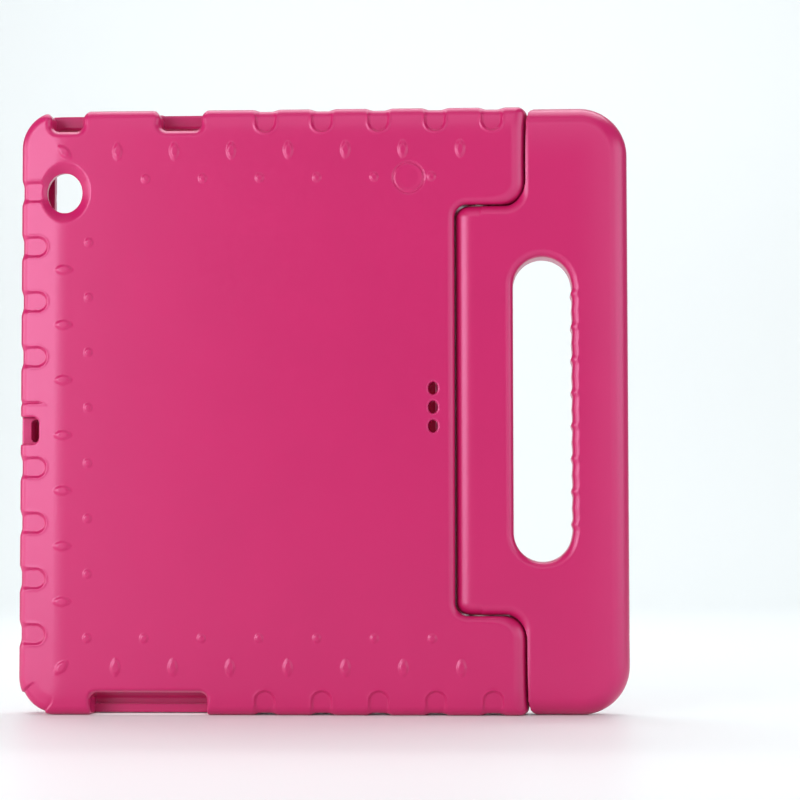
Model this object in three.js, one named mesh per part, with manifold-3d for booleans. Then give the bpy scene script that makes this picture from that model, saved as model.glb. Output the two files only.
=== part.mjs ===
// A child's tablet case of soft foam, with a carrying handle that folds back into a stand.
// Millimetres. The case stands upright: X runs from the shell to the handle, Y from the back
// face to the screen side, Z up. The shell is modelled from its own lower left corner, and the
// group at the end centres it over its base.
import * as THREE from 'three';
import { mergeVertices } from 'three/addons/utils/BufferGeometryUtils.js';
import Module from 'manifold-3d';

const wasm = await Module();
wasm.setup();

// The tablet that the case is moulded for
const TABLET_WIDTH = 168.2;
const TABLET_HEIGHT = 243.3;
const TABLET_THICKNESS = 8;
const TABLET_CORNER = 9;
const TABLET_FIT = 0.5;

// Walls of the shell
const WALL = 6.6;
const HINGE_WALL = 8.2;
const BACK_PLATE = 8.5;
const LIP_THICKNESS = 6;
const LIP_OVERLAP = 3.8;
const LIP_CORNER = 6;
const SHELL_EDGE = 5.5;
const SHELL_CORNER = 16;

// Lobes of the shell, above and below the handle's tongue. Their outer sides and the tongue's
// inner end are round about the hinge pins, so the seam stays closed to the eye as it turns.
const LOBE_SWING = 20.4;
const LOBE_HEIGHT = 41.4;
const LOBE_CORNER = 8;
const NOTCH_CORNER = 5.6;
const TONGUE_SWING = 10.4;
const TONGUE_END_GAP = 0.35;
const TONGUE_GAP = 0.8;
const SEAM_GAP = 1.2;
const SEAM_EDGE = 3;
const TONGUE_EDGE = 4;

// Handle
const HANDLE_SPAN = 41.15;
const HANDLE_THICKNESS = 20;
const HANDLE_EDGE = 8;
const HANDLE_CORNER = 20.5;
const GRIP_WIDTH = 24;
const SLOT_WIDTH = 24.6;
const SLOT_LENGTH = 128.7;
const SLOT_RIM = 3.5;
const NUB_COUNT = 8;
const NUB_PITCH = 13.9;
const NUB_RADIUS = 2.4;
const NUB_PROUD = 1;
const NUB_LENGTH = 11;

// Hinge: two pins, each in a sleeve in the lobe and a sleeve in the tongue
const PIN_RADIUS = 2;
const PIN_DEPTH = 13;
const PIN_CHAMFER = 0.4;
const PIN_FIT = 0.3;
const SLEEVE_WALL = 1.3;
const SLEEVE_FIT = 0.3;
const SLEEVE_END_GAP = 0.3;
const FLANGE_WIDTH = 1.3;
const FLANGE_THICKNESS = 0.3;
const FLANGE_SEAT = 0.2;

// Camera hole, oval, with a dished rim
const CAMERA_FROM_SIDE = 17.35;
const CAMERA_FROM_TOP = 35.4;
const CAMERA_WIDTH = 15.1;
const CAMERA_HEIGHT = 17;
const CAMERA_RIM = 3.9;
const CAMERA_DISH = 3.5;

// Openings in the edges, each with a small chamfer at its mouth
const JACK_FROM_SIDE = 18.5;
const JACK_WIDTH = 13.4;
const BUTTON_FROM_SIDE = 67.2;
const BUTTON_WIDTH = 17.6;
const TOP_OPENING_REACH = 9;
const PORT_FROM_BASE = 120.2;
const PORT_HEIGHT = 11.5;
const PORT_REACH = 7.2;
const PORT_SHELF = 2.7;
const CONNECTOR_FROM_SIDE = 54.3;
const CONNECTOR_WIDTH = 52;
const CONNECTOR_REACH = 10.8;
const OPENING_CORNER = 3;
const OPENING_CHAMFER = 1.2;
const OPENING_FLOOR = 3;
const RIM_DROP = 1;

// Sound holes
const SOUND_HOLE_WIDTH = 4;
const SOUND_HOLE_HEIGHT = 5.3;
const SOUND_HOLE_PITCH = 8;
const SOUND_HOLE_COUNT = 3;
const SOUND_FROM_NOTCH = 9.1;
const SOUND_FROM_BASE = 129.4;

// Plain disc ring pressed into the back
const DISC_FROM_NOTCH = 19.2;
const DISC_FROM_TOP = 30.2;
const DISC_RADIUS = 6.5;
const DISC_GROOVE = 0.6;

// Recesses that run over the edges, with a round inner end
const RECESS_WIDTH = 8.8;
const RECESS_REACH = 10.5;
const RECESS_DEPTH = 0.9;
const RECESS_PITCH = 24;
const RECESS_START = 103.7;
const SIDE_RECESS_PITCH = 23.5;
const SIDE_RECESS_START = 34;
const CORNER_RECESS_WIDTH = 13;

// Bumps on the back: an outer row of long ones and an inner row of small ones
const BUMP_PITCH = 24.3;
const SIDE_BUMP_PITCH = 23.45;
const LONG_BUMP = { length: 8, width: 4.6, proud: 0.8 };
const SMALL_BUMP = { length: 4.2, width: 3.4, proud: 0.6 };
const OUTER_ROW = 18.2;
const INNER_ROW = 30;
const BASE_OUTER_ROW = 20.1;
const BASE_INNER_ROW = 32.4;
const SIDE_OUTER_START = 47.7;
const SIDE_INNER_START = 59.3;
const SIDE_OUTER_ROW = 17.6;
const SIDE_INNER_ROW = 28.4;
const LAST_BUMP_MARGIN = 10;

// Smoothness of round shapes
const CORNER_STEPS = 6;
const EDGE_STEPS = 4;
const ROUND_STEPS = 24;
const SWING_STEPS = 48;
const BUMP_STEPS = 8;
const SMALLEST_RADIUS = 0.15;
const SAME_POINT = 1e-4;
const PAST = 1;
const SKIM = 0.05;

// Worked out from the sizes above
const bayWidth = TABLET_WIDTH + TABLET_FIT;
const bayHeight = TABLET_HEIGHT + TABLET_FIT;
const bayDepth = TABLET_THICKNESS + TABLET_FIT;
const height = bayHeight + 2 * WALL;
const thickness = BACK_PLATE + bayDepth + LIP_THICKNESS;
const backY = -thickness / 2;
const frontY = thickness / 2;
const bayFloorY = backY + BACK_PLATE;
const lipRearY = bayFloorY + bayDepth;
const notchX = WALL + bayWidth + HINGE_WALL;
const pinX = notchX + TONGUE_END_GAP + TONGUE_SWING;
const lobeX = pinX + LOBE_SWING;
const gripX = lobeX + SEAM_GAP;
const width = gripX + HANDLE_SPAN;
const tongueLow = LOBE_HEIGHT + TONGUE_GAP;
const tongueHigh = height - tongueLow;
const slotRight = width - GRIP_WIDTH;
const sleeveRadius = PIN_RADIUS + PIN_FIT + SLEEVE_WALL;
const dishLow = height - CAMERA_FROM_TOP - CAMERA_HEIGHT / 2 - CAMERA_RIM;

// A closed geometry as a solid that can be joined and cut.
function solid(geometry) {
  const bare = geometry.clone();
  bare.deleteAttribute('normal');
  bare.deleteAttribute('uv');
  const merged = mergeVertices(bare, SAME_POINT);
  return new wasm.Manifold(
    new wasm.Mesh({
      numProp: 3,
      vertProperties: new Float32Array(merged.attributes.position.array),
      triVerts: new Uint32Array(merged.index.array),
    }),
  );
}

// Many solids as one.
const join = (solids) => solids.reduce((whole, piece) => whole.add(piece));

// Places from start to end, one pitch apart.
function places(start, pitch, end) {
  return Array.from({ length: Math.floor((end - start) / pitch) + 1 }, (_, i) => start + i * pitch);
}

// Corners [x, z, radius] of an upright rectangle.
function rectangle(x0, z0, x1, z1, radius) {
  return [
    [x0, z0, radius],
    [x1, z0, radius],
    [x1, z1, radius],
    [x0, z1, radius],
  ];
}

// The outline through square corners, walked anticlockwise, moved inwards by inset. An outer
// corner loses the inset from its radius, and an inner corner gains it.
function outline(corners, inset) {
  const points = [];
  corners.forEach(([x, z, radius], i) => {
    const [fromX, fromZ] = corners.at(i - 1);
    const [toX, toZ] = corners[(i + 1) % corners.length];
    const arriving = new THREE.Vector2(x - fromX, z - fromZ).normalize();
    const leaving = new THREE.Vector2(toX - x, toZ - z).normalize();
    const turn = Math.sign(arriving.cross(leaving));
    const round = Math.max(radius - turn * inset, SMALLEST_RADIUS);
    const centre = new THREE.Vector2(x, z)
      .addScaledVector(leaving, turn * inset + round)
      .addScaledVector(arriving, -turn * inset - round);
    for (let step = 0; step <= CORNER_STEPS; step++) {
      const angle = ((Math.PI / 2) * step) / CORNER_STEPS;
      points.push(
        centre
          .clone()
          .addScaledVector(leaving, -round * Math.cos(angle))
          .addScaledVector(arriving, round * Math.sin(angle)),
      );
    }
  });
  return points;
}

// A solid whose section across Y is the outline of the corners, with its own inset at each level.
function loft(corners, levels) {
  const rings = levels.map(({ y, inset }) =>
    outline(corners, inset).map((p) => new THREE.Vector3(p.x, y, p.y)),
  );
  const count = rings[0].length;
  const index = [];
  for (let ring = 0; ring < rings.length - 1; ring++) {
    for (let i = 0; i < count; i++) {
      const a = ring * count + i;
      const b = ring * count + ((i + 1) % count);
      index.push(a, b + count, b, a, a + count, b + count);
    }
  }
  const flat = outline(corners, levels[0].inset);
  const last = (rings.length - 1) * count;
  const farFlat = outline(corners, levels.at(-1).inset);
  THREE.ShapeUtils.triangulateShape(flat, []).forEach(([a, b, c]) => index.push(a, b, c));
  THREE.ShapeUtils.triangulateShape(farFlat, []).forEach(([a, b, c]) =>
    index.push(last + a, last + c, last + b),
  );
  const geometry = new THREE.BufferGeometry().setFromPoints(rings.flat());
  geometry.setIndex(index);
  return solid(geometry);
}

// A slab with round edges, centred on Y = 0.
function slab(corners, thick, edge) {
  const rim = Array.from({ length: EDGE_STEPS + 1 }, (_, step) => {
    const angle = ((Math.PI / 2) * step) / EDGE_STEPS;
    return { y: -thick / 2 + edge * (1 - Math.cos(angle)), inset: edge * (1 - Math.sin(angle)) };
  });
  const farRim = rim.map(({ y, inset }) => ({ y: -y, inset })).reverse();
  return loft(corners, [...rim, ...farRim]);
}

// A straight cut from y0 to y1.
const cut = (corners, y0, y1) =>
  loft(corners, [
    { y: y0, inset: 0 },
    { y: y1, inset: 0 },
  ]);

// A cut from behind the back face to y1, with a chamfer at its mouth.
const mouthCut = (corners, y1) =>
  loft(corners, [
    { y: backY - PAST, inset: -OPENING_CHAMFER - PAST },
    { y: backY + OPENING_CHAMFER, inset: 0 },
    { y: y1, inset: 0 },
  ]);

// A solid turned about the Y axis through (x, z) from a closed profile of [radius, y].
function turned(profile, x, z, steps = ROUND_STEPS) {
  const points = profile.map(([radius, y]) => new THREE.Vector2(radius, y));
  return new THREE.LatheGeometry(points, steps).translate(x, 0, z);
}

// An oval hole along Y from y0 to y1, centred on (x, z).
function ovalHole(x, z, wide, high, y0, y1) {
  const hole = new THREE.CylinderGeometry(0.5, 0.5, y1 - y0, ROUND_STEPS / 2);
  return solid(hole.scale(wide, 1, high).translate(x, (y0 + y1) / 2, z));
}

// Points of a quarter circle about (x, y), from one angle to another in degrees.
function quarter(x, y, radius, from, to) {
  return Array.from({ length: CORNER_STEPS + 1 }, (_, step) => {
    const angle = THREE.MathUtils.degToRad(from + ((to - from) * step) / CORNER_STEPS);
    return [x + radius * Math.cos(angle), y + radius * Math.sin(angle)];
  });
}

// A solid turned about the hinge pins from a profile of [radius, height].
const swing = (profile) =>
  turned(profile, 0, 0, SWING_STEPS).rotateX(Math.PI / 2).translate(pinX, 0, 0);

// The same geometry at the base and, turned over, at the top.
const bothEnds = (geometry) =>
  solid(geometry).add(solid(geometry.clone().rotateX(Math.PI).translate(0, 0, height)));

// Everything from x0 to x1.
const slice = (x0, x1) => cut(rectangle(x0, -PAST, x1, height + PAST, 0), -thickness, thickness);

// The bay that holds the tablet, and the window in the lip in front of the screen.
function tabletSpace() {
  const bay = rectangle(WALL, WALL, WALL + bayWidth, height - WALL, TABLET_CORNER);
  const window = rectangle(
    WALL + LIP_OVERLAP,
    WALL + LIP_OVERLAP,
    WALL + bayWidth - LIP_OVERLAP,
    height - WALL - LIP_OVERLAP,
    LIP_CORNER,
  );
  return join([cut(bay, bayFloorY, lipRearY), cut(window, lipRearY - PAST, frontY + PAST)]);
}

// The oval camera hole and its dish.
function cameraHole() {
  const mouth = CAMERA_WIDTH / 2 + CAMERA_RIM;
  const profile = [
    [0, backY - PAST],
    [mouth, backY - PAST],
    [mouth, backY],
    [mouth - CAMERA_RIM / 2, backY + CAMERA_DISH / 3],
    [CAMERA_WIDTH / 2, backY + CAMERA_DISH],
    [CAMERA_WIDTH / 2, bayFloorY + PAST],
    [0, bayFloorY + PAST],
  ];
  const hole = turned(profile, 0, 0).scale(1, 1, CAMERA_HEIGHT / CAMERA_WIDTH);
  return solid(hole.translate(CAMERA_FROM_SIDE, 0, height - CAMERA_FROM_TOP));
}

// An opening through the top edge: a chamfered cut, and the lip lowered in front of it.
function topOpening(x, wide) {
  const top = height + PAST;
  const low = height - TOP_OPENING_REACH;
  const mouth = rectangle(x - wide / 2, low, x + wide / 2, top + OPENING_CORNER, OPENING_CORNER);
  const rim = rectangle(x - wide / 2, height - RIM_DROP, x + wide / 2, top, RIM_DROP / 2);
  return join([mouthCut(mouth, OPENING_FLOOR), cut(rim, 0, frontY + PAST)]);
}

// The wide opening through the base, for the connector and the loudspeakers.
function baseOpening() {
  const half = CONNECTOR_WIDTH / 2 - OPENING_CHAMFER;
  const x0 = CONNECTOR_FROM_SIDE - half;
  const x1 = CONNECTOR_FROM_SIDE + half;
  const high = CONNECTOR_REACH - OPENING_CHAMFER;
  const mouth = rectangle(x0, -PAST - OPENING_CORNER, x1, high, OPENING_CORNER);
  const rim = rectangle(x0, -PAST, x1, RIM_DROP, RIM_DROP / 2);
  return join([mouthCut(mouth, OPENING_FLOOR), cut(rim, 0, frontY + PAST)]);
}

// The small opening in the left edge: a shallow mouth, and a slot behind it into the bay.
function sideOpening() {
  const z0 = PORT_FROM_BASE - PORT_HEIGHT / 2;
  const z1 = PORT_FROM_BASE + PORT_HEIGHT / 2;
  const mouth = rectangle(-PAST - OPENING_CORNER, z0, PORT_REACH, z1, OPENING_CORNER);
  const slot = rectangle(PORT_SHELF, z0 + PAST, WALL + PAST, z1 - PAST, OPENING_CORNER / 2);
  return join([cut(mouth, backY - PAST, bayFloorY), cut(slot, bayFloorY - PAST, lipRearY - PAST)]);
}

// Three oval sound holes in a column beside the hinge.
function soundHoles() {
  return join(
    Array.from({ length: SOUND_HOLE_COUNT }, (_, i) => {
      const z = SOUND_FROM_BASE + (i - (SOUND_HOLE_COUNT - 1) / 2) * SOUND_HOLE_PITCH;
      const x = notchX - SOUND_FROM_NOTCH;
      return ovalHole(x, z, SOUND_HOLE_WIDTH, SOUND_HOLE_HEIGHT, backY - PAST, bayFloorY + PAST);
    }),
  );
}

// The ring groove of the plain disc.
function discGroove() {
  const profile = [
    [DISC_RADIUS - DISC_GROOVE, backY + DISC_GROOVE],
    [DISC_RADIUS - DISC_GROOVE, backY - PAST],
    [DISC_RADIUS, backY - PAST],
    [DISC_RADIUS, backY + DISC_GROOVE],
    [DISC_RADIUS - DISC_GROOVE, backY + DISC_GROOVE],
  ];
  return solid(turned(profile, notchX - DISC_FROM_NOTCH, height - DISC_FROM_TOP));
}

// A recess over the edge that starts at (x, z), where the way inwards is turned by angle from +Z.
function recess(x, z, wide, angle) {
  const round = wide / 2 - SMALLEST_RADIUS;
  const reach = RECESS_REACH;
  const shape = new THREE.Shape()
    .moveTo(-wide / 2, -reach)
    .lineTo(wide / 2, -reach)
    .lineTo(wide / 2, reach - round)
    .absarc(0, reach - round, wide / 2, 0, Math.PI, false)
    .closePath();
  const tall = thickness + 2 * PAST;
  const geometry = new THREE.ExtrudeGeometry(shape, {
    depth: tall,
    bevelEnabled: false,
    curveSegments: CORNER_STEPS + 2,
  });
  geometry.rotateX(Math.PI / 2).translate(0, tall / 2, 0);
  return solid(geometry.rotateY(angle).translate(x, 0, z));
}

// All recesses, down to a surface that lies RECESS_DEPTH inside the shell's own.
function recesses() {
  const cornerOffset = SHELL_CORNER * (1 - Math.SQRT1_2);
  const cuts = [recess(cornerOffset, cornerOffset, CORNER_RECESS_WIDTH, Math.PI / 4)];
  places(RECESS_START, RECESS_PITCH, lobeX - RECESS_WIDTH).forEach((x) => {
    cuts.push(recess(x, height, RECESS_WIDTH, Math.PI), recess(x, 0, RECESS_WIDTH, 0));
  });
  places(SIDE_RECESS_START, SIDE_RECESS_PITCH, height - SHELL_CORNER)
    .filter((z) => Math.abs(z - PORT_FROM_BASE) > PORT_HEIGHT)
    .forEach((z) => cuts.push(recess(0, z, RECESS_WIDTH, Math.PI / 2)));
  return join(cuts).subtract(shellBlank(RECESS_DEPTH));
}

// The shell's outer form, which runs on past the lobes, with every surface drawn in by a depth.
function shellBlank(depth) {
  const farX = lobeX + SHELL_EDGE + SHELL_CORNER;
  const corners = rectangle(depth, depth, farX, height - depth, SHELL_CORNER - depth);
  return slab(corners, thickness - 2 * depth, SHELL_EDGE - depth);
}

// The notch for the tongue, with small round edges, as the solid that stays beside it.
function notched() {
  const farX = lobeX + SEAM_EDGE + PAST;
  return slab(
    [
      [-SEAM_EDGE, -SEAM_EDGE, 0],
      [farX, -SEAM_EDGE, 0],
      [farX, LOBE_HEIGHT, 0],
      [notchX, LOBE_HEIGHT, NOTCH_CORNER],
      [notchX, height - LOBE_HEIGHT, NOTCH_CORNER],
      [farX, height - LOBE_HEIGHT, 0],
      [farX, height + SEAM_EDGE, 0],
      [-SEAM_EDGE, height + SEAM_EDGE, 0],
    ],
    thickness,
    SEAM_EDGE,
  );
}

// The lobes' round sides, as the solid that they keep to. It stands proud of the flat faces by
// a hair, so that no two faces share a plane.
function lobeLimit() {
  const low = -SKIM;
  const high = LOBE_HEIGHT + SKIM;
  const lobes = swing([
    [0, low],
    ...quarter(LOBE_SWING - SEAM_EDGE, low + SEAM_EDGE, SEAM_EDGE, -90, 0),
    ...quarter(LOBE_SWING - LOBE_CORNER, high - LOBE_CORNER, LOBE_CORNER, 0, 90),
    [0, high],
  ]);
  return bothEnds(lobes).add(slice(-PAST, pinX));
}

// A raised bump on the back face, its length turned by angle from upright.
function bump(x, z, { length, width: wide, proud }, angle = 0) {
  const spread = 1 / Math.sqrt(3);
  const dome = new THREE.SphereGeometry(1, BUMP_STEPS, BUMP_STEPS - 2);
  dome.scale(wide * spread, 2 * proud, length * spread);
  return solid(dome.rotateY(angle).translate(x, backY + proud, z));
}

// The bumps along the top, the base and the left side, each row staggered against the next.
function bumps() {
  const side = Math.PI / 2;
  const made = [
    bump(SIDE_OUTER_ROW, BASE_OUTER_ROW, LONG_BUMP, side / 2),
    bump(SIDE_OUTER_ROW, height - OUTER_ROW, LONG_BUMP, -side / 2),
    bump(SIDE_INNER_ROW, BASE_INNER_ROW, SMALL_BUMP),
  ];
  places(SIDE_INNER_ROW + BUMP_PITCH / 2, BUMP_PITCH, lobeX - LAST_BUMP_MARGIN).forEach((x) => {
    made.push(bump(x, height - OUTER_ROW, LONG_BUMP), bump(x, BASE_OUTER_ROW, LONG_BUMP));
  });
  places(SIDE_INNER_ROW + BUMP_PITCH, BUMP_PITCH, notchX).forEach((x) => {
    made.push(bump(x, height - INNER_ROW, SMALL_BUMP), bump(x, BASE_INNER_ROW, SMALL_BUMP));
  });
  places(SIDE_OUTER_START, SIDE_BUMP_PITCH, dishLow).forEach((z) => {
    made.push(bump(SIDE_OUTER_ROW, z, LONG_BUMP, side));
  });
  places(SIDE_INNER_START, SIDE_BUMP_PITCH, dishLow).forEach((z) => {
    made.push(bump(SIDE_INNER_ROW, z, SMALL_BUMP));
  });
  return join(made);
}

// A bore for a hinge sleeve, from height z into the foam above it, or below it where way is -1.
function sleeveBore(z, way) {
  const deep = PIN_DEPTH + SLEEVE_END_GAP;
  const radius = sleeveRadius + SLEEVE_FIT;
  const bore = new THREE.CylinderGeometry(radius, radius, deep + PAST, ROUND_STEPS);
  const middle = z + (way * (deep - PAST)) / 2;
  return solid(bore.rotateX(Math.PI / 2).translate(pinX, 0, middle));
}

// The foam shell: back plate, walls, lip and hinge lobes in one moulding.
function caseShell() {
  const cuts = [
    tabletSpace(),
    cameraHole(),
    topOpening(JACK_FROM_SIDE, JACK_WIDTH),
    topOpening(BUTTON_FROM_SIDE, BUTTON_WIDTH),
    baseOpening(),
    sideOpening(),
    soundHoles(),
    discGroove(),
    recesses(),
    sleeveBore(LOBE_HEIGHT, -1),
    sleeveBore(height - LOBE_HEIGHT, 1),
  ];
  return shellBlank(0)
    .intersect(notched())
    .intersect(lobeLimit())
    .add(bumps())
    .subtract(join(cuts));
}

// The finger slot, with round rims at both faces.
function fingerSlot() {
  const middle = height / 2;
  const corners = rectangle(
    slotRight - SLOT_WIDTH,
    middle - SLOT_LENGTH / 2,
    slotRight,
    middle + SLOT_LENGTH / 2,
    SLOT_WIDTH / 2 - SMALLEST_RADIUS,
  );
  const face = HANDLE_THICKNESS / 2;
  const rim = Array.from({ length: EDGE_STEPS + 1 }, (_, step) => {
    const angle = ((Math.PI / 2) * step) / EDGE_STEPS;
    return {
      y: -face + SLOT_RIM * (1 - Math.cos(angle)),
      inset: -SLOT_RIM * (1 - Math.sin(angle)),
    };
  });
  const mouth = { y: -face - PAST, inset: -SLOT_RIM };
  const near = [mouth, ...rim];
  return loft(corners, [...near, ...near.map(({ y, inset }) => ({ y: -y, inset })).reverse()]);
}

// The finger nubs on the slot's outer side.
function nubs() {
  return join(
    Array.from({ length: NUB_COUNT }, (_, i) => {
      const z = height / 2 + (i - (NUB_COUNT - 1) / 2) * NUB_PITCH;
      const nub = new THREE.CylinderGeometry(NUB_RADIUS, NUB_RADIUS, NUB_LENGTH, ROUND_STEPS / 2);
      return solid(nub.translate(slotRight - NUB_PROUD + NUB_RADIUS, 0, z));
    }),
  );
}

// The handle's outer form, which runs on past the tongue's inner end.
function handleBlank() {
  const farX = pinX - TONGUE_SWING - HANDLE_EDGE - HANDLE_CORNER;
  return slab(rectangle(farX, 0, width, height, HANDLE_CORNER), HANDLE_THICKNESS, HANDLE_EDGE);
}

// The tongue and the grip with small round edges along the seam, open at the outer sides. It
// stands a hair proud of the hollows' flat ends.
function tongued() {
  const low = tongueLow - SKIM;
  const high = tongueHigh + SKIM;
  const farX = pinX - TONGUE_SWING - TONGUE_EDGE;
  const seamX = gripX - TONGUE_EDGE;
  const corner = LOBE_CORNER + SEAM_GAP - TONGUE_EDGE;
  return slab(
    [
      [seamX, -TONGUE_EDGE, 0],
      [width + TONGUE_EDGE, -TONGUE_EDGE, 0],
      [width + TONGUE_EDGE, height + TONGUE_EDGE, 0],
      [seamX, height + TONGUE_EDGE, 0],
      [seamX, high, corner],
      [farX, high, 0],
      [farX, low, 0],
      [seamX, low, corner],
    ],
    HANDLE_THICKNESS,
    TONGUE_EDGE,
  );
}

// The hollows round the lobes, which flare at the seam's open ends.
function lobeHollows() {
  const swingOut = LOBE_SWING + SEAM_GAP;
  const corner = LOBE_CORNER + SEAM_GAP;
  const hollow = swing([
    [0, -PAST],
    [swingOut + SEAM_EDGE, -PAST],
    ...quarter(swingOut + SEAM_EDGE, SEAM_EDGE, SEAM_EDGE, -90, -180),
    ...quarter(swingOut - corner, tongueLow - corner, corner, 0, 90),
    [0, tongueLow],
  ]);
  return bothEnds(hollow);
}

// The tongue's round inner end, as the solid that the handle keeps to.
function tongueLimit() {
  const corner = NOTCH_CORNER - TONGUE_GAP;
  const low = tongueLow - SKIM;
  const high = tongueHigh + SKIM;
  const end = swing([
    [0, low],
    ...quarter(TONGUE_SWING - corner, low + corner, corner, -90, 0),
    ...quarter(TONGUE_SWING - corner, high - corner, corner, 0, 90),
    [0, high],
  ]);
  return solid(end).add(slice(pinX, width + PAST));
}

// The foam handle: the tongue between the lobes, the finger slot and the grip.
function handle() {
  return handleBlank()
    .intersect(tongued())
    .subtract(lobeHollows())
    .intersect(tongueLimit())
    .subtract(fingerSlot())
    .add(nubs())
    .subtract(sleeveBore(tongueLow, 1))
    .subtract(sleeveBore(tongueHigh, -1));
}

// A hinge sleeve: a tube that stands on Z = 0, the face of the foam, and reaches down into it.
function tongueSleeve() {
  const bore = PIN_RADIUS + PIN_FIT;
  const profile = [
    [bore, -PIN_DEPTH],
    [sleeveRadius, -PIN_DEPTH],
    [sleeveRadius, 0],
    [bore, 0],
    [bore, -PIN_DEPTH],
  ];
  return turned(profile, 0, 0).rotateX(Math.PI / 2);
}

// A lobe's sleeve, which also has a thin flange that shows in the seam.
function lobeSleeve() {
  const bore = PIN_RADIUS + PIN_FIT;
  const flange = sleeveRadius + FLANGE_WIDTH;
  const profile = [
    [bore, -PIN_DEPTH],
    [sleeveRadius, -PIN_DEPTH],
    [sleeveRadius, FLANGE_SEAT],
    [flange, FLANGE_SEAT],
    [flange, FLANGE_SEAT + FLANGE_THICKNESS],
    [bore, FLANGE_SEAT + FLANGE_THICKNESS],
    [bore, -PIN_DEPTH],
  ];
  return turned(profile, 0, 0).rotateX(Math.PI / 2);
}

// A hinge pin with small chamfers, centred on the seam gap.
function pinGeometry() {
  const half = PIN_DEPTH + TONGUE_GAP / 2 - SLEEVE_END_GAP;
  const profile = [
    [0, -half],
    [PIN_RADIUS - PIN_CHAMFER, -half],
    [PIN_RADIUS, -half + PIN_CHAMFER],
    [PIN_RADIUS, half - PIN_CHAMFER],
    [PIN_RADIUS - PIN_CHAMFER, half],
    [0, half],
  ];
  return turned(profile, 0, 0).rotateX(Math.PI / 2);
}

// A solid's surface as a geometry with flat faces.
function surface(body) {
  const { numProp, numVert, vertProperties, triVerts } = body.getMesh();
  const positions = new Float32Array(numVert * 3);
  for (let i = 0; i < numVert; i++) {
    positions.set(vertProperties.subarray(i * numProp, i * numProp + 3), i * 3);
  }
  const geometry = new THREE.BufferGeometry();
  geometry.setAttribute('position', new THREE.BufferAttribute(positions, 3));
  geometry.setIndex(new THREE.BufferAttribute(triVerts, 1));
  const flat = geometry.toNonIndexed();
  flat.computeVertexNormals();
  return flat;
}

const foam = new THREE.MeshStandardMaterial({ color: 0xcf3570, roughness: 0.62, metalness: 0 });
const palePlastic = new THREE.MeshStandardMaterial({ color: 0xeae6e2, roughness: 0.4 });
const steel = new THREE.MeshStandardMaterial({ color: 0xb9bcc0, roughness: 0.3, metalness: 1 });

function piece(name, geometry, material) {
  const mesh = new THREE.Mesh(geometry, material);
  mesh.name = name;
  return mesh;
}

// A sleeve whose foam face is at height z. It opens upwards, or downwards when it is turned over.
function sleeve(name, geometry, z, turnedOver) {
  const mesh = piece(name, geometry, palePlastic);
  mesh.position.set(pinX, 0, z);
  if (turnedOver) mesh.rotation.x = Math.PI;
  return mesh;
}

function pin(name, z) {
  const mesh = piece(name, pinGeometry(), steel);
  mesh.position.set(pinX, 0, z);
  return mesh;
}

const shellGroup = new THREE.Group();
shellGroup.add(
  piece('case_shell', surface(caseShell()), foam),
  sleeve('lobe_sleeve_lower', lobeSleeve(), LOBE_HEIGHT, false),
  sleeve('lobe_sleeve_upper', lobeSleeve(), height - LOBE_HEIGHT, true),
  pin('hinge_pin_lower', LOBE_HEIGHT + TONGUE_GAP / 2),
  pin('hinge_pin_upper', height - LOBE_HEIGHT - TONGUE_GAP / 2),
);

const handleGroup = new THREE.Group();
handleGroup.add(
  piece('handle', surface(handle()), foam),
  sleeve('tongue_sleeve_lower', tongueSleeve(), tongueLow, true),
  sleeve('tongue_sleeve_upper', tongueSleeve(), tongueHigh, false),
);

const tabletCase = new THREE.Group();
tabletCase.add(shellGroup, handleGroup);
tabletCase.position.x = -width / 2;

const part = new THREE.Group();
part.add(tabletCase);

export default part;
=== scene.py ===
"""Looks of a child's foam tablet case with a carrying handle.

The shell and the handle are modelled as formulas: a function that is negative inside the foam
and positive outside it, close to the distance from the surface in millimetres. A net of quads
is laid where it is nought, and every vertex is then pulled onto the surface itself.
"""
import logging
import math
from dataclasses import dataclass, field
from enum import Enum
from typing import Callable

import bpy
import numpy as np
from mathutils import Matrix, Vector


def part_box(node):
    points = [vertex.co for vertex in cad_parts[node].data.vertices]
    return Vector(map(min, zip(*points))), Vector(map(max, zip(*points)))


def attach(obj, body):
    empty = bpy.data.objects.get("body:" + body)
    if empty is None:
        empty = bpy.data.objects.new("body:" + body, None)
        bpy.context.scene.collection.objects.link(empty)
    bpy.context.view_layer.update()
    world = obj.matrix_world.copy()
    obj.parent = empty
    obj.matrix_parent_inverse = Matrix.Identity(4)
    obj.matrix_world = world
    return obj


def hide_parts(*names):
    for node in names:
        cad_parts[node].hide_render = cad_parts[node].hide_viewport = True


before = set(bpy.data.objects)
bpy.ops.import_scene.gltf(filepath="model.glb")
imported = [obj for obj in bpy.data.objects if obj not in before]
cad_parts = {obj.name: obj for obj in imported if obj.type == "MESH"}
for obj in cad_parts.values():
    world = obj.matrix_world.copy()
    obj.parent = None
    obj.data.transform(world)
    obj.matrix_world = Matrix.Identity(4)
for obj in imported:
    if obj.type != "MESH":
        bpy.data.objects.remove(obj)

logging.basicConfig(level=logging.INFO, format="%(message)s")
log = logging.getLogger("tablet_case")

Array = np.ndarray
Field = Callable[[Array, Array, Array], Array]
Pair = tuple[float, float]
Triple = tuple[float, float, float]

MM = 0.001

# Across a line that is turned half a right angle
DIAGONAL = math.sqrt(0.5)

# Less than half the width of a slot, so that its round ends don't meet
HAIR = 0.01

# Nearest to nought that a length or a slope may come where it divides
TINY = 1e-6
LEAST_SLOPE = 0.1

# The part of a noise's values that most places have
NOISE_LOW, NOISE_HIGH = 0.3, 0.7


@dataclass(frozen=True)
class Detail:
    """How fine the nets are laid: the cells in millimetres, and the triangles kept."""

    step: float
    shell_triangles: int
    handle_triangles: int


FINAL = Detail(0.6, 190_000, 140_000)


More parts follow.
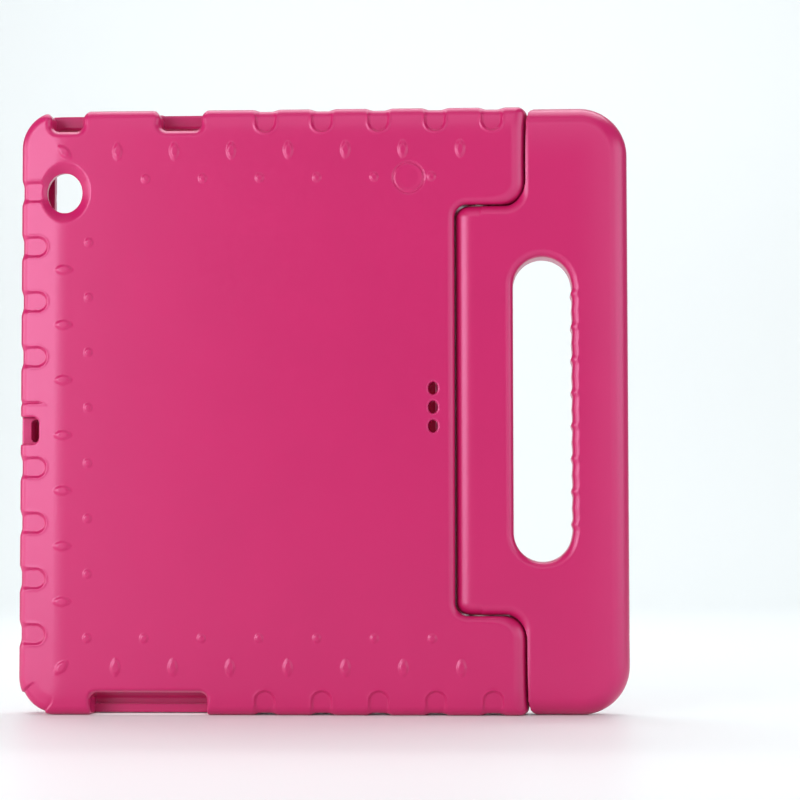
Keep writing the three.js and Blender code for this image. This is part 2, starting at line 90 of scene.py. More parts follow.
class Edge(Enum):
    """An edge of the shell that carries a row of recesses."""

    TOP = "top"
    BASE = "base"
    LEFT = "left"


# Formulas that the pieces share


def larger(a: Array, b: Array, blend: float) -> Array:
    """The larger of a and b, rounded off where they cross.

    Within blend of each other it adds a quarter of blend times the square of one minus their
    difference over blend.
    """
    near = np.maximum(blend - np.abs(a - b), 0) / blend
    return np.maximum(a, b) + 0.25 * blend * near * near


def rise(value: Array, start: float, end: float) -> Array:
    """A smooth step from 0 at start to 1 at end: t squared times three minus two t."""
    t = np.clip((value - start) / (end - start), 0, 1)
    return t * t * (3 - 2 * t)


def bell(value: Array, middle: float, half: float) -> Array:
    """A bell 1 high at middle: e to minus the square of the way from there over half."""
    return np.exp(-(((value - middle) / half) ** 2))


def rounded(across: Array, up: Array, corner: float) -> Array:
    """The corner of radius corner where two distances are both limits.

    It is the larger of the two, and outside both insets it is the length of the two together.

    Args:
        across: Distance beyond the first limit.
        up: Distance beyond the second limit.
        corner: Radius of the round corner.

    Returns:
        Distance from the rounded shape.
    """
    a, b = across + corner, up + corner
    return np.minimum(np.maximum(a, b), 0) + np.hypot(np.maximum(a, 0), np.maximum(b, 0)) - corner


def rectangle(x: Array, z: Array, low: Pair, high: Pair, corner: float) -> Array:
    """Distance from the upright rectangle from low to high, whose corners have that radius."""
    across = np.abs(x - (low[0] + high[0]) / 2) - (high[0] - low[0]) / 2
    up = np.abs(z - (low[1] + high[1]) / 2) - (high[1] - low[1]) / 2
    return rounded(across, up, corner)


def from_nearest(value: Array, start: float, pitch: float, count: int) -> Array:
    """Offset from the nearest of count places that begin at start, a pitch apart."""
    index = np.clip(np.round((value - start) / pitch), 0, count - 1)
    return value - start - index * pitch


def copies(start: float, pitch: float, end: float) -> int:
    """How many places fit from start to end, a pitch apart."""
    return int((end - start) // pitch) + 1


# Nets of quads on a formula's surface


@dataclass(frozen=True)
class Net:
    """A closed net of quads where a formula is nought.

    The block of space round the piece is cut into cells. Each cell that the surface passes
    through holds one vertex, at the mean of the points where it crosses the cell's edges, and
    each crossed grid line gives one quad between the four cells round it.
    """

    formula: Field
    xs: Array
    ys: Array
    zs: Array

    def grid(self) -> Array:
        """The formula's values at the corners of all cells."""
        values = self.formula(self.xs[:, None, None], self.ys[None, :, None], self.zs[None, None, :])
        shape = (len(self.xs), len(self.ys), len(self.zs))
        return np.ascontiguousarray(np.broadcast_to(values, shape), dtype=np.float32)

    def build(self) -> tuple[Array, Array]:
        """Lays the net.

        Returns:
            The vertices, one row each, and the quads as rows of four vertex numbers.
        """
        values = self.grid()
        inside = values < 0
        corners = np.zeros([n - 1 for n in inside.shape], dtype=np.int8)
        for i in (0, 1):
            for j in (0, 1):
                for k in (0, 1):
                    corners += self.shifted(inside, (i, j, k))
        crossed = (corners > 0) & (corners < 8)
        cells = np.argwhere(crossed)
        number = np.full(crossed.shape, -1, dtype=np.int64)
        number[crossed] = np.arange(len(cells))
        return self.vertices(values, cells), self.quads(inside, number)

    @staticmethod
    def shifted(inside: Array, offset: tuple[int, int, int]) -> Array:
        """The block of corner marks that lies offset from each cell's first corner."""
        return inside[tuple(slice(o, n - 1 + o) for o, n in zip(offset, inside.shape))]

    def vertices(self, values: Array, cells: Array) -> Array:
        """The mean of the crossings on the twelve edges of each cell."""
        lines = (self.xs, self.ys, self.zs)
        total = np.zeros((len(cells), 3))
        count = np.zeros(len(cells))
        for axis in range(3):
            for first in (0, 1):
                for second in (0, 1):
                    offset = np.zeros(3, dtype=int)
                    offset[(axis + 1) % 3] = first
                    offset[(axis + 2) % 3] = second
                    low = cells + offset
                    high = low.copy()
                    high[:, axis] += 1
                    a, b = values[tuple(low.T)], values[tuple(high.T)]
                    crossing = (a < 0) != (b < 0)
                    share = np.where(crossing, a / np.where(crossing, a - b, 1), 0)
                    point = np.stack([lines[n][low[:, n]] for n in range(3)], axis=1)
                    point[:, axis] += share * (lines[axis][high[:, axis]] - point[:, axis])
                    total += point * crossing[:, None]
                    count += crossing
        return total / count[:, None]

    @staticmethod
    def quads(inside: Array, number: Array) -> Array:
        """One quad for each grid line that the surface crosses, facing outwards."""
        found = []
        for axis in range(3):
            low = np.take(inside, range(inside.shape[axis] - 1), axis=axis)
            high = np.take(inside, range(1, inside.shape[axis]), axis=axis)
            lines = np.argwhere(low != high)
            outward = low[tuple(lines.T)]
            ring = []
            for first, second in ((1, 1), (0, 1), (0, 0), (1, 0)):
                cell = lines.copy()
                cell[:, (axis + 1) % 3] -= first
                cell[:, (axis + 2) % 3] -= second
                ring.append(number[tuple(cell.T)])
            quad = np.stack(ring, axis=1)
            found.append(np.where(outward[:, None], quad, quad[:, ::-1]))
        return np.concatenate(found)


def slope(formula: Field, points: Array, reach: float = 0.04) -> Array:
    """The formula's gradient at points, from its values a little way to both sides."""
    x, y, z = points.T
    return np.stack(
        [
            formula(x + reach, y, z) - formula(x - reach, y, z),
            formula(x, y + reach, z) - formula(x, y - reach, z),
            formula(x, y, z + reach) - formula(x, y, z - reach),
        ],
        axis=1,
    ) / (2 * reach)


def settle(formula: Field, points: Array, rounds: int, most: float = 0.4) -> Array:
    """Pulls points onto the surface along the gradient, as Newton's method does.

    Args:
        formula: The piece's formula.
        points: Points near its surface.
        rounds: How many steps to take.
        most: Longest step in millimetres.

    Returns:
        The points on the surface.
    """
    for _ in range(rounds):
        gradient = slope(formula, points)
        steep = np.maximum((gradient**2).sum(axis=1), LEAST_SLOPE)
        step = (formula(*points.T) / steep)[:, None] * gradient
        length = np.linalg.norm(step, axis=1, keepdims=True)
        points = points - step * np.minimum(1, most / np.maximum(length, TINY))
    return points


def thinned(mesh: bpy.types.Mesh, triangles: int) -> bpy.types.Mesh:
    """A copy of a mesh with about that many triangles, with the flat stretches thinned most."""
    carrier = bpy.data.objects.new("thinning", mesh)
    bpy.context.scene.collection.objects.link(carrier)
    modifier = carrier.modifiers.new("thin", "DECIMATE")
    modifier.ratio = min(1.0, triangles / (2 * len(mesh.polygons)))
    modifier.use_collapse_triangulate = True
    bpy.context.view_layer.update()
    evaluated = carrier.evaluated_get(bpy.context.evaluated_depsgraph_get())
    made = bpy.data.meshes.new_from_object(evaluated)
    bpy.data.objects.remove(carrier)
    return made


def coordinates(mesh: bpy.types.Mesh) -> Array:
    """A mesh's vertices as rows."""
    flat = np.empty(len(mesh.vertices) * 3)
    mesh.vertices.foreach_get("co", flat)
    return flat.reshape(-1, 3)


def skin(name: str, net: Net, left: float, triangles: int) -> bpy.types.Object:
    """Makes the object whose surface is a net's, in metres in the frame of the case.

    Args:
        name: Name of the piece.
        net: The net to lay, in millimetres from the case's lower left corner.
        left: Where that corner is across, in metres.
        triangles: How many triangles to keep.

    Returns:
        The new object, smooth, with the formula's own normals.
    """
    points, quads = net.build()
    points = settle(net.formula, points, rounds=2)
    mesh = bpy.data.meshes.new(name)
    mesh.vertices.add(len(points))
    mesh.vertices.foreach_set("co", points.astype(np.float32).ravel())
    mesh.loops.add(quads.size)
    mesh.loops.foreach_set("vertex_index", quads.astype(np.int32).ravel())
    mesh.polygons.add(len(quads))
    mesh.polygons.foreach_set("loop_start", np.arange(0, quads.size, 4, dtype=np.int32))
    mesh.update(calc_edges=True)
    log.info("%s: %d quads laid", name, len(quads))
    fine = thinned(mesh, triangles)
    bpy.data.meshes.remove(mesh)
    fine.name = name
    points = settle(net.formula, coordinates(fine), rounds=2, most=0.05)
    normals = slope(net.formula, points)
    normals /= np.maximum(np.linalg.norm(normals, axis=1, keepdims=True), TINY)
    placed = points * MM + np.array([left, 0, 0])
    fine.vertices.foreach_set("co", placed.astype(np.float32).ravel())
    fine.polygons.foreach_set("use_smooth", np.ones(len(fine.polygons), dtype=bool))
    fine.normals_split_custom_set_from_vertices(normals)
    fine.update()
    piece = bpy.data.objects.new(name, fine)
    bpy.context.scene.collection.objects.link(piece)
    return piece


def spaced(low: float, high: float, step: float, margin: float = 1.5) -> Array:
    """Even grid lines from a margin below low to a margin above high."""
    count = int(math.ceil((high - low + 2 * margin) / step)) + 1
    return np.linspace(low - margin, high + margin, count)


# Finishes


class Nodes:
    """A material's node tree, with short ways to add and link nodes."""

    def __init__(self, name: str) -> None:
        """Starts an empty material called name with a Principled shader and its output."""
        self.material = bpy.data.materials.new(name)
        self.material.use_nodes = True
        self.tree = self.material.node_tree
        self.tree.nodes.clear()
        self.shader = self.add("ShaderNodeBsdfPrincipled")
        output = self.add("ShaderNodeOutputMaterial")
        self.link(self.shader.outputs["BSDF"], output.inputs["Surface"])
        self.place = self.add("ShaderNodeTexCoord").outputs["Object"]

    def add(self, kind: str, **settings: object) -> bpy.types.Node:
        """Adds a node of that kind with these settings."""
        node = self.tree.nodes.new(kind)
        for key, value in settings.items():
            setattr(node, key, value)
        return node

    def link(self, source: bpy.types.NodeSocket, target: bpy.types.NodeSocket) -> None:
        """Links an output to an input."""
        self.tree.links.new(source, target)

    def noise(self, scale: float, detail: float = 2.0) -> bpy.types.NodeSocket:
        """The value of a noise of that scale, per metre."""
        node = self.add("ShaderNodeTexNoise")
        node.inputs["Scale"].default_value = scale
        node.inputs["Detail"].default_value = detail
        self.link(self.place, node.inputs["Vector"])
        return node.outputs["Fac"]

    def spread(self, value: bpy.types.NodeSocket, low: float, high: float) -> bpy.types.NodeSocket:
        """A noise's value stretched over low to high."""
        node = self.add("ShaderNodeMapRange")
        node.inputs["From Min"].default_value = NOISE_LOW
        node.inputs["From Max"].default_value = NOISE_HIGH
        node.inputs["To Min"].default_value = low
        node.inputs["To Max"].default_value = high
        self.link(value, node.inputs["Value"])
        return node.outputs["Result"]

    def between(self, value: bpy.types.NodeSocket, first: Triple, second: Triple) -> bpy.types.NodeSocket:
        """A colour that goes from first to second with a noise's value."""
        node = self.add("ShaderNodeValToRGB")
        places = (NOISE_LOW, NOISE_HIGH)
        for element, position, colour in zip(node.color_ramp.elements, places, (first, second)):
            element.position = position
            element.color = (*colour, 1)
        self.link(value, node.inputs["Fac"])
        return node.outputs["Color"]

    def grain(self, value: bpy.types.NodeSocket, height: float) -> bpy.types.NodeSocket:
        """A bump of that height in metres."""
        node = self.add("ShaderNodeBump")
        node.inputs["Strength"].default_value = 1.0
        node.inputs["Distance"].default_value = height
        self.link(value, node.inputs["Height"])
        return node.outputs["Normal"]


@dataclass(frozen=True)
class Foam:
    """Satin moulded foam: one deep colour with a faint mottle and a very fine grain.

    Each noise is its scale, per metre, and its detail.
    """

    name: str = "foam"
    colour: Triple = (0.49, 0.010, 0.107)
    mottle: float = 0.02
    mottle_noise: Pair = (28.0, 4.0)
    roughness: Pair = (0.28, 0.34)
    roughness_noise: Pair = (900.0, 3.0)
    gloss: float = 0.72
    gloss_tint: Triple = (1.0, 0.68, 0.98)
    grain_scale: float = 1300.0
    grain_height: float = 0.00001

    def material(self) -> bpy.types.Material:
        """Builds the finish."""
        nodes = Nodes(self.name)
        paler = tuple(min(1.0, c * (1 + self.mottle)) for c in self.colour)
        deeper = tuple(c * (1 - self.mottle) for c in self.colour)
        cloud = nodes.noise(*self.mottle_noise)
        nodes.link(nodes.between(cloud, deeper, paler), nodes.shader.inputs["Base Color"])
        speckle = nodes.noise(*self.roughness_noise)
        nodes.link(nodes.spread(speckle, *self.roughness), nodes.shader.inputs["Roughness"])
        grain = nodes.grain(nodes.noise(self.grain_scale), self.grain_height)
        nodes.link(grain, nodes.shader.inputs["Normal"])
        nodes.shader.inputs["Specular IOR Level"].default_value = self.gloss
        nodes.shader.inputs["Specular Tint"].default_value = (*self.gloss_tint, 1)
        return nodes.material


@dataclass(frozen=True)
class Plastic:
    """Pale satin plastic with a fine moulded grain."""

    name: str = "pale_plastic"
    colour: Triple = (0.78, 0.76, 0.73)
    darkest: float = 0.93
    colour_noise: Pair = (160.0, 3.0)
    roughness: Pair = (0.34, 0.46)
    grain_scale: float = 2200.0
    grain_height: float = 0.00002

    def material(self) -> bpy.types.Material:
        """Builds the finish."""
        nodes = Nodes(self.name)
        darker = tuple(c * self.darkest for c in self.colour)
        cloud = nodes.noise(*self.colour_noise)
        nodes.link(nodes.between(cloud, darker, self.colour), nodes.shader.inputs["Base Color"])
        speckle = nodes.noise(self.grain_scale)
        nodes.link(nodes.spread(speckle, *self.roughness), nodes.shader.inputs["Roughness"])
        nodes.link(nodes.grain(speckle, self.grain_height), nodes.shader.inputs["Normal"])
        return nodes.material


@dataclass(frozen=True)
class Steel:
    """Drawn steel with faint lines along the pin."""

    name: str = "steel"
    colour: Triple = (0.62, 0.63, 0.65)
    darkest: float = 0.85
    roughness: Pair = (0.22, 0.36)
    squeeze: Triple = (1.0, 1.0, 0.03)
    line_noise: Pair = (5200.0, 3.0)
    line_height: float = 0.00001

    def material(self) -> bpy.types.Material:
        """Builds the finish. The noise is squeezed along the pin, so it reads as drawn lines."""
        nodes = Nodes(self.name)
        squeeze = nodes.add("ShaderNodeMapping")
        squeeze.inputs["Scale"].default_value = self.squeeze
        nodes.link(nodes.place, squeeze.inputs["Vector"])
        nodes.place = squeeze.outputs["Vector"]
        lines = nodes.noise(*self.line_noise)
        darker = tuple(c * self.darkest for c in self.colour)
        nodes.link(nodes.between(lines, darker, self.colour), nodes.shader.inputs["Base Color"])
        nodes.link(nodes.spread(lines, *self.roughness), nodes.shader.inputs["Roughness"])
        nodes.link(nodes.grain(lines, self.line_height), nodes.shader.inputs["Normal"])
        nodes.shader.inputs["Metallic"].default_value = 1.0
        return nodes.material


@dataclass(frozen=True)
class Studio:
    """Pale satin sweep that the case stands on."""

    name: str = "pale_sweep"
    colour: Triple = (0.91, 0.955, 0.965)
    roughness: float = 0.45
    gloss: float = 0.4

    def material(self) -> bpy.types.Material:
        """Builds the finish."""
        nodes = Nodes(self.name)
        nodes.shader.inputs["Base Color"].default_value = (*self.colour, 1)
        nodes.shader.inputs["Roughness"].default_value = self.roughness
        nodes.shader.inputs["Specular IOR Level"].default_value = self.gloss
        return nodes.material


# The pieces


@dataclass(frozen=True)
class Hinge:
    """The hinge line and the round surfaces about it, in millimetres from the lower left corner."""

    pin_x: float
    height: float
    lobe_height: float = 41.62
    lobe_swing: float = 20.4
    lobe_corner: float = 9.5
    tongue_swing: float = 10.4
    tongue_turn: float = 11.95
    end_gap: float = 0.15
    tongue_gap: float = 0.36
    seam_gap: float = 1.2
    seam_edge: float = 3.0
    tongue_edge: float = 4.4
    notch_corner: float = 5.6
    bore: float = 3.9
    bore_depth: float = 13.4
    flange_seat: float = 5.1
    flange_depth: float = 0.55

    @property
    def lobe_x(self) -> float:
        """Where the lobes end across."""
        return self.pin_x + self.lobe_swing

    @property
    def notch_x(self) -> float:
        """Where the shell's notch starts across."""
        return self.pin_x - self.tongue_swing - self.end_gap

    @property
    def tongue_low(self) -> float:
        """Height of the tongue's lower face."""
        return self.lobe_height + self.tongue_gap

    def from_end(self, z: Array) -> Array:
        """Distance from the nearer end of the case, because both ends are alike."""
        return np.minimum(z, self.height - z)

    def sleeve_bore(self, x: Array, y: Array, z: Array, low: float, high: float) -> Array:
        """Distance from the bores for the sleeves, from low to high from each end.

        Each has a shallow wide seat for the sleeve's flange, on both sides of the seam.
        """
        radius = np.hypot(x - self.pin_x, y)
        end = self.from_end(z)
        bore = np.maximum(radius - self.bore, np.abs(end - (low + high) / 2) - (high - low) / 2)
        seam = (self.lobe_height + self.tongue_low) / 2
        reach = self.tongue_gap / 2 + self.flange_depth
        return np.minimum(bore, np.maximum(radius - self.flange_seat, np.abs(end - seam) - reach))


@dataclass(frozen=True)
class Bump:
    """A raised bump: flat over an oval, which draws out to points as it gets longer.

    Its flat top and its foot end at these shares of its half width and length.
    """

    width: float
    length: float
    proud: float
    pointed: float = 0.2
    top: float = 0.45
    foot: float = 1.08

    def lift(self, aside: Array, along: Array) -> Array:
        """Its height at places so far aside and along from its middle."""
        across, up = np.abs(aside) / (self.width / 2), np.abs(along) / (self.length / 2)
        drawn = self.pointed * (self.length / self.width - 1)
        radius = np.hypot(across, up) + drawn * across * up
        return self.proud * (1 - rise(radius, self.top, self.foot))


@dataclass
class Shell:
    """The foam shell: back plate, walls, lip and hinge lobes in one moulding.

    A row is named for how far it lies from its edge, and a start for where its first one is.
    An opening's pair is its middle along the edge and its width. A blend rounds an opening off.
    """

    hinge: Hinge
    left: float
    height: float
    thickness: float = 23.0
    wall: float = 6.6
    hinge_wall: float = 8.2
    back_plate: float = 8.5
    lip: float = 6.0
    lip_overlap: float = 3.8
    lip_corner: float = 6.0
    bay_corner: float = 9.0
    bay_edge: float = 1.0
    bay_blend: float = 1.6
    corner: float = 16.0
    edge: float = 4.0
    left_swell: float = 1.5
    shoulder_reach: float = 16.2
    shoulder_slope: float = 0.145
    shoulder_crease: float = 3.0
    shoulder_blend: float = 0.4
    end_shoulder_reach: float = 14.0
    end_shoulder_drop: float = 1.6
    end_shoulder_most: float = 1.2
    recess_width: float = 8.6
    recess_reach: float = 10.5
    recess_depth: float = 0.9
    recess_wall: Pair = (-0.8, 0.4)
    recess_flare: float = 1.4
    flare_fade: Pair = (0.5, 5.0)
    recess_lip: float = 0.12
    lip_middle: float = 0.45
    lip_half: float = 0.5
    lip_more: float = 0.2
    lip_more_top: Pair = (30.0, 15.0)
    lip_more_across: Pair = (35.0, 60.0)
    recess_start: float = 103.7
    recess_pitch: float = 24.0
    side_recess_start: float = 34.0
    side_recess_pitch: float = 23.5
    corner_recess_width: float = 13.0
    corner_recess_fade: Pair = (2.0, 9.0)
    bump_pitch: float = 24.3
    side_bump_pitch: float = 23.45
    long_bump: Bump = Bump(4.6, 8.4, 0.58)
    small_bump: Bump = Bump(4.0, 4.4, 0.5)
    bumps_short_of_lobe: float = 10.0
    outer_row: float = 18.2
    inner_row: float = 30.0
    base_outer_row: float = 20.1
    base_inner_row: float = 32.4
    side_outer_row: float = 17.6
    side_inner_row: float = 28.4
    side_outer_start: float = 47.7
    side_inner_start: float = 59.3
    through: float = 1.0
    camera: Pair = (17.35, 35.4)
    camera_size: Pair = (15.1, 17.0)
    camera_rim: float = 3.9
    camera_dish: float = 3.5
    camera_most: float = 1.5
    camera_undercut: float = 0.08
    camera_blend: float = 0.7
    jack: Pair = (18.5, 13.4)
    button: Pair = (67.2, 17.6)
    pocket_reach: float = 9.0
    pocket_flare: float = 1.6
    pocket_mouth: float = 3.2
    pocket_top: float = 4.0
    pocket_top_flare: float = 1.5
    pocket_blend: float = 1.8
    connector: Pair = (54.3, 52.0)
    connector_reach: float = 10.8
    connector_ledge: float = 4.0
    connector_flare: float = 1.2
    connector_mouth: float = 2.2
    connector_short: float = 0.1
    connector_blend: float = 1.0
    mouth_most: float = 1.4
    opening_corner: float = 3.0
    opening_floor: float = 3.0
    rim_drop: float = 0.15
    port: Pair = (120.2, 11.5)
    port_reach: float = 7.2
    port_shelf: float = 2.7
    port_step: float = 1.0
    port_half_depth: float = 4.5
    port_blend: float = 0.9
    sound_hole: Pair = (4.0, 5.3)
    sound_pitch: float = 8.0
    sound_count: int = 3
    sound_from_notch: float = 9.1
    sound_z: float = 129.4
    sound_blend: float = 0.9
    disc_from_notch: float = 19.2
    disc_from_top: float = 30.2
    disc_radius: float = 6.4
    groove_depth: float = 0.45
    groove_half: float = 0.42
    dish_depth: float = 0.15
    dish_reach: float = 2.5
    fine_band: Pair = (-2.1, 4.5)
    fine_cells: float = 0.6
    wide_cells: float = 1.25

    @property
    def back(self) -> float:
        """The back face's place along Y."""
        return -self.thickness / 2

    @property
    def bay_floor(self) -> float:
        """The place of the bay's floor along Y."""
        return self.back + self.back_plate

    @property
    def lip_rear(self) -> float:
        """The place of the lip's inner face along Y."""
        return self.thickness / 2 - self.lip

    @property
    def far(self) -> float:
        """A length that reaches well past the case."""
        return self.height

    def rows(self, edge: Edge) -> tuple[float, float, int]:
        """Start, pitch and count of the recesses on an edge."""
        if edge is Edge.LEFT:
            end = self.height - self.corner
            start, pitch = self.side_recess_start, self.side_recess_pitch
        else:
            end = self.hinge.lobe_x - self.recess_width
            start, pitch = self.recess_start, self.recess_pitch
        return start, pitch, copies(start, pitch, end)

    def recess(self, x: Array, z: Array, edge: Edge) -> Array:
        """Distance from the recesses of one edge, each a strip with a round inner end.

        Beyond the strip's straight part it is the distance from the end's centre less the
        radius, and beside that part it is the distance from the middle line less the radius.
        """
        along = z if edge is Edge.LEFT else x
        inward = {Edge.TOP: self.height - z, Edge.BASE: z, Edge.LEFT: x}[edge]
        half = self.recess_width / 2
        aside = from_nearest(along, *self.rows(edge))
        strip = np.hypot(aside, np.maximum(inward - self.recess_reach + half, 0)) - half
        if edge is Edge.LEFT:
            strip = np.maximum(strip, self.port[1] - np.abs(z - self.port[0]))
        return strip

    def corner_recess(self, x: Array, z: Array) -> Array:
        """Distance from the wide recess that crosses the lower left corner."""
        start = self.corner * (1 - DIAGONAL)
        inward = (x - start + z - start) * DIAGONAL
        aside = (x - z) * DIAGONAL
        half = self.corner_recess_width / 2
        return np.hypot(aside, np.maximum(inward - self.recess_reach + half, 0)) - half

    def sunk(self, x: Array, z: Array) -> Array:
        """How deep the recesses are at a place: the depth inside them, with a soft lip.

        The wall is steep on the back face, and it widens to a slope at the outline, where the
        lip, a bell round the wall's top, fades out. The lip is highest along the top edge.
        """
        strips = np.broadcast_arrays(*[self.recess(x, z, edge) for edge in Edge])
        nearest = np.minimum.reduce(strips)
        inward = -self.outline(x, z)
        inner = rise(inward, *self.flare_fade)
        wide = self.recess_flare * (1 - inner)
        foot, top = self.recess_wall
        depth = self.recess_depth * (1 - rise(nearest, foot - wide, top + wide))
        start, end = (self.height - down for down in self.lip_more_top)
        lip = self.recess_lip + self.lip_more * rise(z, start, end) * rise(x, *self.lip_more_across)
        bead = lip * inner * bell(nearest, self.lip_middle, self.lip_half)
        corner = 1 - rise(self.corner_recess(x, z), foot, top)
        fade = 1 - rise(inward, *self.corner_recess_fade)
        return depth - bead + self.recess_depth * corner * fade

    def bumps(self, x: Array, z: Array) -> Array:
        """Height of all bumps over the back face."""
        pitch, side = self.bump_pitch, self.side_bump_pitch
        first = self.side_inner_row
        long_end = self.hinge.lobe_x - self.bumps_short_of_lobe
        dish_low = self.height - self.camera[1] - self.camera_size[1] / 2 - self.camera_rim
        long_start = first + pitch / 2
        long_x = from_nearest(x, long_start, pitch, copies(long_start, pitch, long_end))
        small_start = first + pitch
        small_x = from_nearest(x, small_start, pitch, copies(small_start, pitch, self.hinge.notch_x))
        outer_z = from_nearest(z, self.side_outer_start, side,
                               copies(self.side_outer_start, side, dish_low))
        inner_z = from_nearest(z, self.side_inner_start, side,
                               copies(self.side_inner_start, side, dish_low))
        top, base = self.height - self.outer_row, self.base_outer_row
        found = [
            self.long_bump.lift(long_x, z - top),
            self.long_bump.lift(long_x, z - base),
            self.small_bump.lift(small_x, z - self.height + self.inner_row),
            self.small_bump.lift(small_x, z - self.base_inner_row),
            self.long_bump.lift(outer_z, x - self.side_outer_row),
            self.small_bump.lift(x - first, inner_z),
            self.small_bump.lift(x - first, z - self.base_inner_row),
            self.slanted(x, z, base, 1.0),
            self.slanted(x, z, top, -1.0),
        ]
        return np.maximum.reduce(np.broadcast_arrays(*found))

    def slanted(self, x: Array, z: Array, height: float, way: float) -> Array:
        """Height of the bump in a left corner, turned half a right angle."""
        across, up = x - self.side_outer_row, z - height
        return self.long_bump.lift((across - way * up) * DIAGONAL, (across + way * up) * DIAGONAL)

    def ring(self, x: Array, z: Array) -> Array:
        """Depth of the plain disc's groove, and the slight dish inside it."""
        middle_x = self.hinge.notch_x - self.disc_from_notch
        middle_z = self.height - self.disc_from_top
        radius = np.hypot(x - middle_x, z - middle_z)
        groove = self.groove_depth * bell(radius, self.disc_radius, self.groove_half)
        dish = 1 - rise(radius, self.disc_radius - self.dish_reach, self.disc_radius)
        return groove + self.dish_depth * dish

    def outline(self, x: Array, z: Array) -> Array:
        """Distance from the shell's outline, which runs on past the lobes."""
        far = self.hinge.pin_x + self.far
        return rectangle(x, z, (-self.left_swell, 0), (far, self.height), self.corner)

    def shoulder(self, x: Array, z: Array) -> Array:
        """Depth of the broad bevels.

        The left one is an even slope from a soft crease to the outer edge. Those at the two
        ends fall as the square of the way from their inner line.
        """
        side = larger(self.shoulder_reach - x, 0.0, self.shoulder_crease) * self.shoulder_slope
        inward = self.hinge.from_end(z) / self.end_shoulder_reach
        way = np.clip(1 - inward, 0, self.end_shoulder_most)
        return larger(side, self.end_shoulder_drop * way * way, self.shoulder_blend)

    def relief(self, x: Array, z: Array) -> Array:
        """How far the back face stands proud: bumps, less the ring and the broad bevels."""
        return self.bumps(x, z) - self.ring(x, z) - self.shoulder(x, z)

    def body(self, x: Array, y: Array, z: Array) -> Array:
        """The moulding without its openings.

        The notch's wall has a hidden hollow, round about the pins, in which the tongue's
        corners turn.
        """
        half = self.thickness / 2
        hinge = self.hinge
        slab = np.maximum(-y - half - self.relief(x, z), y - half)
        outer = rounded(self.outline(x, z), slab, self.edge)
        low, high = hinge.lobe_height, self.height - hinge.lobe_height
        notch = rectangle(x, z, (hinge.notch_x, low), (hinge.notch_x + self.far, high),
                          hinge.notch_corner)
        swing = np.hypot(np.maximum(x - hinge.pin_x, 0), y) - hinge.lobe_swing
        side = np.maximum(rounded(swing, -notch, hinge.lobe_corner),
                          rounded(swing, -hinge.from_end(z), hinge.seam_edge))
        turn = rounded(np.hypot(x - hinge.pin_x, y) - hinge.tongue_turn, low - hinge.from_end(z),
                       hinge.seam_edge)
        side = np.maximum(rounded(side, slab, hinge.seam_edge), -turn)
        return np.maximum(outer, side) + self.sunk(x, z)

    def mouth(self, y: Array, reach: float, most: float) -> Array:
        """How far a mouth is open: 1 at the back face, and nought from reach behind it on."""
        return np.clip(1 - (y - self.back) / reach, 0, most)

    def camera_hole(self, x: Array, y: Array, z: Array) -> Array:
        """Distance from the oval camera hole, whose mouth is a cone and whose rear is undercut."""
        wide, high = self.camera_size
        across = x - self.camera[0]
        up = (z - self.height + self.camera[1]) * wide / high
        way = self.mouth(y, self.camera_dish, self.camera_most)
        behind = np.maximum(y - self.back - self.camera_dish, 0)
        reach = wide / 2 + self.camera_rim * way + self.camera_undercut * behind
        hole = np.hypot(across, up) - reach
        return np.maximum(hole, y - self.bay_floor - self.through)

    def pocket(self, x: Array, y: Array, z: Array, place: Pair) -> Array:
        """Distance from an opening in the top edge, wider at its mouth and at the top."""
        middle, wide = place
        flare = self.pocket_flare * self.mouth(y, self.pocket_mouth, self.mouth_most)
        upper = rise(z, self.height - self.pocket_top, self.height)
        flare = flare + self.pocket_top_flare * upper
        low = (middle - wide / 2, self.height - self.pocket_reach)
        high = (middle + wide / 2, self.height + self.far)
        hole = rectangle(x, z, low, high, self.opening_corner) - flare
        cut = np.maximum(hole, y - self.opening_floor)
        rim = rectangle(x, z, (low[0], self.height - self.rim_drop), high, self.rim_drop / 2)
        return np.minimum(cut, np.maximum(rim, -y))

    def connector_opening(self, x: Array, y: Array, z: Array) -> Array:
        """Distance from the wide opening in the base, which has a ledge half way in."""
        middle, wide = self.connector
        inset = self.connector_flare
        flare = inset * self.mouth(y, self.connector_mouth, self.mouth_most)
        low = (middle - wide / 2 + inset, -self.far)
        high = (middle + wide / 2 - inset, self.connector_reach - inset)
        deep = self.lip_rear - self.connector_short
        floor = np.where(z > self.connector_ledge, deep, self.opening_floor)
        cut = np.maximum(rectangle(x, z, low, high, self.opening_corner) - flare, y - floor)
        rim = rectangle(x, z, low, (high[0], self.rim_drop), self.rim_drop / 2)
        return np.minimum(cut, np.maximum(rim, -y))

    def side_port(self, x: Array, y: Array, z: Array) -> Array:
        """Distance from the opening in the left edge: a mouth, and a slot behind it."""
        middle, tall = self.port
        low = (-self.far, middle - tall / 2)
        mouth = rectangle(x, z, low, (self.port_reach, middle + tall / 2), self.opening_corner)
        first = (self.port_shelf, low[1] + self.port_step)
        last = (self.wall + self.through, middle + tall / 2 - self.port_step)
        slot = rectangle(x, z, first, last, self.opening_corner / 2)
        depth = np.abs(y - (self.bay_floor + self.lip_rear) / 2)
        behind = np.maximum(slot, depth - self.port_half_depth)
        return np.minimum(np.maximum(mouth, y - self.bay_floor), behind)

    def sound_holes(self, x: Array, y: Array, z: Array) -> Array:
        """Distance from the column of oval sound holes."""
        wide, high = self.sound_hole
        start = self.sound_z - (self.sound_count - 1) / 2 * self.sound_pitch
        up = from_nearest(z, start, self.sound_pitch, self.sound_count) * wide / high
        across = x - self.hinge.notch_x + self.sound_from_notch
        hole = np.hypot(across, up) - wide / 2
        return np.maximum(hole, y - self.bay_floor - self.through)

